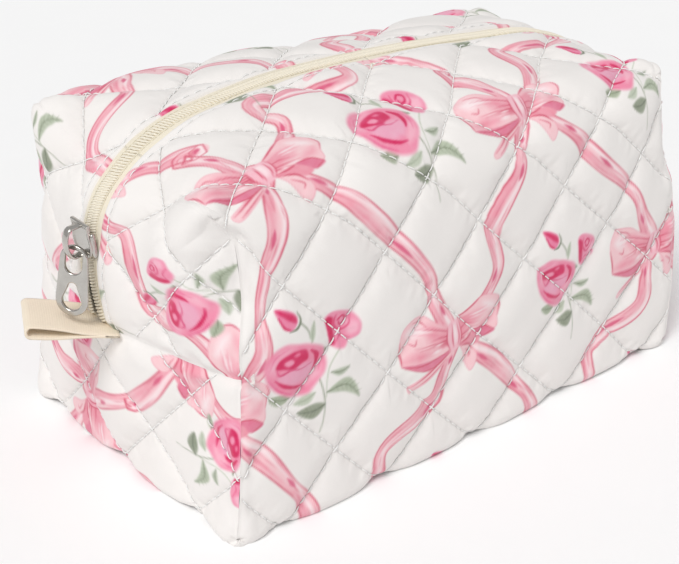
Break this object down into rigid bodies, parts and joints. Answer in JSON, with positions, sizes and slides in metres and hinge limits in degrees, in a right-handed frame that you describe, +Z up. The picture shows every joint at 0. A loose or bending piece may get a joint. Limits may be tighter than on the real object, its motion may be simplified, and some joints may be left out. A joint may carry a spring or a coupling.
{
  "type": "makeup bag",
  "caption": "Boxy quilted cotton zip pouch with a floral and bow print, boxed corners, a top zip that runs down both ends and a ribbon tab at each end.",
  "frame": {"origin": "middle of the base, on the surface the bag stands on", "axes": "+Z up; +X along the bag's length, with the slider at the -X end; -Y is the front"},
  "size_m": [0.2508, 0.115, 0.117],
  "materials": {
    "printed_cotton": "plain-weave white cotton printed with pink roses, bows and ribbons, diamond quilted",
    "batting": "soft white polyester wadding",
    "lining": "plain white cotton",
    "zip_tape": "ivory woven zip tape",
    "zip_coil": "ivory nylon coil",
    "slider_metal": "bright nickel plate",
    "ribbon": "beige folded cotton ribbon",
    "binding": "white cotton bias binding"
  },
  "bodies": {
    "root": {"outer_front": "printed_cotton", "outer_back": "printed_cotton", "outer_bottom": "printed_cotton", "outer_near_end": "printed_cotton", "outer_far_end": "printed_cotton", "batting_front": "batting", "batting_back": "batting", "batting_bottom": "batting", "batting_near_end": "batting", "batting_far_end": "batting", "lining_front": "lining", "lining_back": "lining", "lining_bottom": "lining", "lining_near_end": "lining", "lining_far_end": "lining", "zip_tape_front_near": "zip_tape", "zip_coil_front_near": "zip_coil", "zip_tape_back_near": "zip_tape", "zip_coil_back_near": "zip_coil", "zip_tape_front_far": "zip_tape", "zip_coil_front_far": "zip_coil", "zip_tape_back_far": "zip_tape", "zip_coil_back_far": "zip_coil", "near_tab": "ribbon", "far_tab": "ribbon", "binding_near_end": "binding", "binding_far_end": "binding", "binding_near_front": "binding", "binding_near_back": "binding", "binding_far_front": "binding", "binding_far_back": "binding"},
    "front_flap": {"outer_front_flap": "printed_cotton", "batting_front_flap": "batting", "lining_front_flap": "lining", "zip_tape_front_flap": "zip_tape", "zip_coil_front_flap": "zip_coil"},
    "back_flap": {"outer_back_flap": "printed_cotton", "batting_back_flap": "batting", "lining_back_flap": "lining", "zip_tape_back_flap": "zip_tape", "zip_coil_back_flap": "zip_coil"},
    "slider": {"zip_slider": "slider_metal", "slider_bridge": "slider_metal"},
    "puller": {"puller": "slider_metal"}
  },
  "joints": [
    {"name": "front_flap_fold", "type": "hinge", "parent": "root", "child": "front_flap", "pos_m": [0, -0.0523, 0.103], "axis": [1, 0, 0], "range_deg": [0, 60]},
    {"name": "back_flap_fold", "type": "hinge", "parent": "root", "child": "back_flap", "pos_m": [0, 0.0523, 0.103], "axis": [-1, 0, 0], "range_deg": [0, 60]},
    {"name": "slider_travel", "type": "slide", "parent": "root", "child": "slider", "axis": [-0.0896, 0, 0.996], "range_m": [0, 0.004]},
    {"name": "puller_swing", "type": "hinge", "parent": "slider", "child": "puller", "pos_m": [-0.10764, 0, 0.08133], "axis": [0, 1, 0], "range_deg": [0, 140]}
  ]
}
